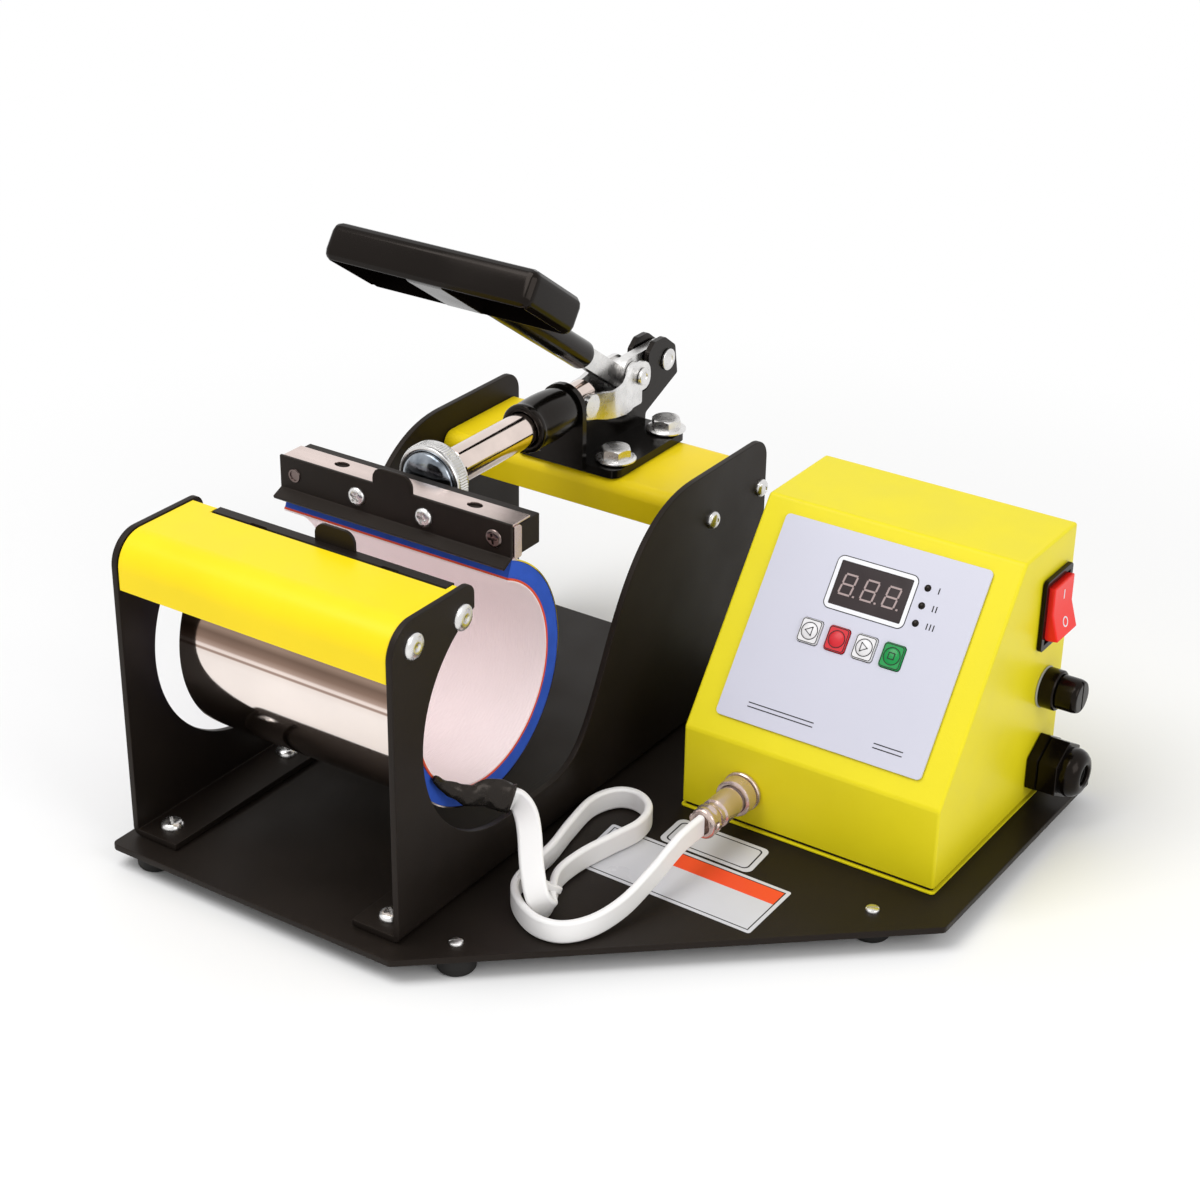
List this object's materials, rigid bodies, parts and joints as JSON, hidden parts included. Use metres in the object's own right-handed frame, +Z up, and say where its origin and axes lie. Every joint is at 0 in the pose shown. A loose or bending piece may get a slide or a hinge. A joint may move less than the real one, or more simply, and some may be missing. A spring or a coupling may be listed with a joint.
{
  "type": "mug heat press",
  "caption": "Bench mug press: a wrap-round heater between two open side plates, pulled shut by a toggle clamp with a paddle handle, and a sloping control box.",
  "frame": {"origin": "the middle of the bounding box on the ground under the feet", "axes": "+Z up, +Y from the front cover to the clamp, +X along the mug towards the control box"},
  "size_m": [0.3238, 0.3111, 0.2515],
  "materials": {
    "black_powder_coat": "satin",
    "warm_yellow_paint": "satin",
    "lemon_yellow_paint": "satin",
    "chrome": "polished",
    "zinc_steel": "satin",
    "blue_foam": "matte",
    "pale_liner": "matte",
    "black_vinyl": "satin",
    "black_plastic": "matte",
    "black_rubber": "matte",
    "white_silicone": "matte",
    "panel_grey": "matte",
    "dark_window": "polished",
    "white_plastic": "matte",
    "red_plastic": "gloss",
    "green_plastic": "matte",
    "board_green": "matte",
    "fuse_glass": "clear",
    "transformer_iron": "matte"
  },
  "bodies": {
    "frame": {"base_plate": "black_powder_coat", "left_side_plate": "black_powder_coat", "right_side_plate": "black_powder_coat", "heater_anchor": "black_powder_coat", "clamp_base": "black_powder_coat", "guide_barrel": "black_powder_coat", "box_tray": "black_powder_coat", "front_cover": "warm_yellow_paint", "rear_crossbar": "warm_yellow_paint", "control_box": "lemon_yellow_paint", "heater_band_front": "chrome", "socket": "chrome", "plug_body": "chrome", "ear_pin": "zinc_steel", "clamp_bolt_1": "zinc_steel", "clamp_bolt_2": "zinc_steel", "clamp_bolt_3": "zinc_steel", "clamp_bolt_4": "zinc_steel", "heater_foam_front": "blue_foam", "heater_mat_front": "pale_liner", "cord_sleeve": "black_vinyl", "switch_bezel": "black_plastic", "fuse_holder": "black_plastic", "gland_body": "black_plastic", "gland_nut": "black_plastic", "foot_front_left": "black_rubber", "foot_front_middle": "black_rubber", "foot_front_right": "black_rubber", "foot_rear_left": "black_rubber", "foot_rear_right": "black_rubber", "heater_cord": "white_silicone", "panel_overlay": "panel_grey", "display_window": "dark_window", "circuit_board": "board_green", "fuse": "fuse_glass", "transformer": "transformer_iron"},
    "plunger": {"plunger": "chrome", "plunger_pin": "zinc_steel", "press_bar": "black_powder_coat", "backing_bar": "black_powder_coat", "end_strip": "zinc_steel", "heater_band_rear": "chrome", "heater_foam_rear": "blue_foam", "heater_mat_rear": "pale_liner"},
    "knob": {"pressure_knob": "zinc_steel"},
    "handle": {"handle_lever": "zinc_steel", "grip_sleeve": "black_vinyl", "paddle_grip": "black_plastic", "link_pin": "zinc_steel"},
    "links": {"toggle_link_left": "zinc_steel", "toggle_link_right": "zinc_steel"},
    "button_left": {"button_left": "white_plastic"},
    "button_red": {"button_red": "red_plastic"},
    "button_right": {"button_right": "white_plastic"},
    "button_green": {"button_green": "green_plastic"},
    "rocker": {"rocker": "red_plastic"},
    "fuse_cap": {"fuse_cap": "black_plastic"},
    "plug_ring": {"plug_ring": "chrome"}
  },
  "joints": [
    {"name": "plunger_slide", "type": "slide", "parent": "frame", "child": "plunger", "axis": [0, 1, 0], "range_m": [0, 0.033]},
    {"name": "knob_turn", "type": "hinge", "parent": "plunger", "child": "knob", "pos_m": [-0.08785, -0.03, 0.1508], "axis": [0, 1, 0], "continuous": true},
    {"name": "handle_swing", "type": "hinge", "parent": "frame", "child": "handle", "pos_m": [-0.08785, 0.1459, 0.1508], "axis": [-1, 0, 0], "range_deg": [0, 90]},
    {"name": "links_swing", "type": "hinge", "parent": "handle", "child": "links", "pos_m": [-0.08785, 0.1209, 0.1508], "axis": [1, 0, 0], "range_deg": [0, 126]},
    {"name": "button_left_press", "type": "slide", "parent": "frame", "child": "button_left", "axis": [0, 0.8021, -0.5972], "range_m": [0, 0.001], "stiffness_N_per_m": 400},
    {"name": "button_red_press", "type": "slide", "parent": "frame", "child": "button_red", "axis": [0, 0.8021, -0.5972], "range_m": [0, 0.001], "stiffness_N_per_m": 400},
    {"name": "button_right_press", "type": "slide", "parent": "frame", "child": "button_right", "axis": [0, 0.8021, -0.5972], "range_m": [0, 0.001], "stiffness_N_per_m": 400},
    {"name": "button_green_press", "type": "slide", "parent": "frame", "child": "button_green", "axis": [0, 0.8021, -0.5972], "range_m": [0, 0.001], "stiffness_N_per_m": 400},
    {"name": "rocker_tilt", "type": "hinge", "parent": "frame", "child": "rocker", "pos_m": [0.13935, 0.1024, 0.1048], "axis": [0, 1, 0], "range_deg": [0, 16]},
    {"name": "fuse_cap_turn", "type": "hinge", "parent": "frame", "child": "fuse_cap", "pos_m": [0.14215, 0.103, 0.066], "axis": [1, 0, 0], "range_deg": [0, 90]},
    {"name": "plug_ring_turn", "type": "hinge", "parent": "frame", "child": "plug_ring", "pos_m": [0.04845, -0.0016, 0.0296], "axis": [0, 1, 0], "range_deg": [0, 360]}
  ],
  "couplings": [
    {"joint": "handle_swing", "follows": "plunger_slide", "rad_per_m": 47.579},
    {"joint": "links_swing", "follows": "plunger_slide", "rad_per_m": 66.372}
  ]
}
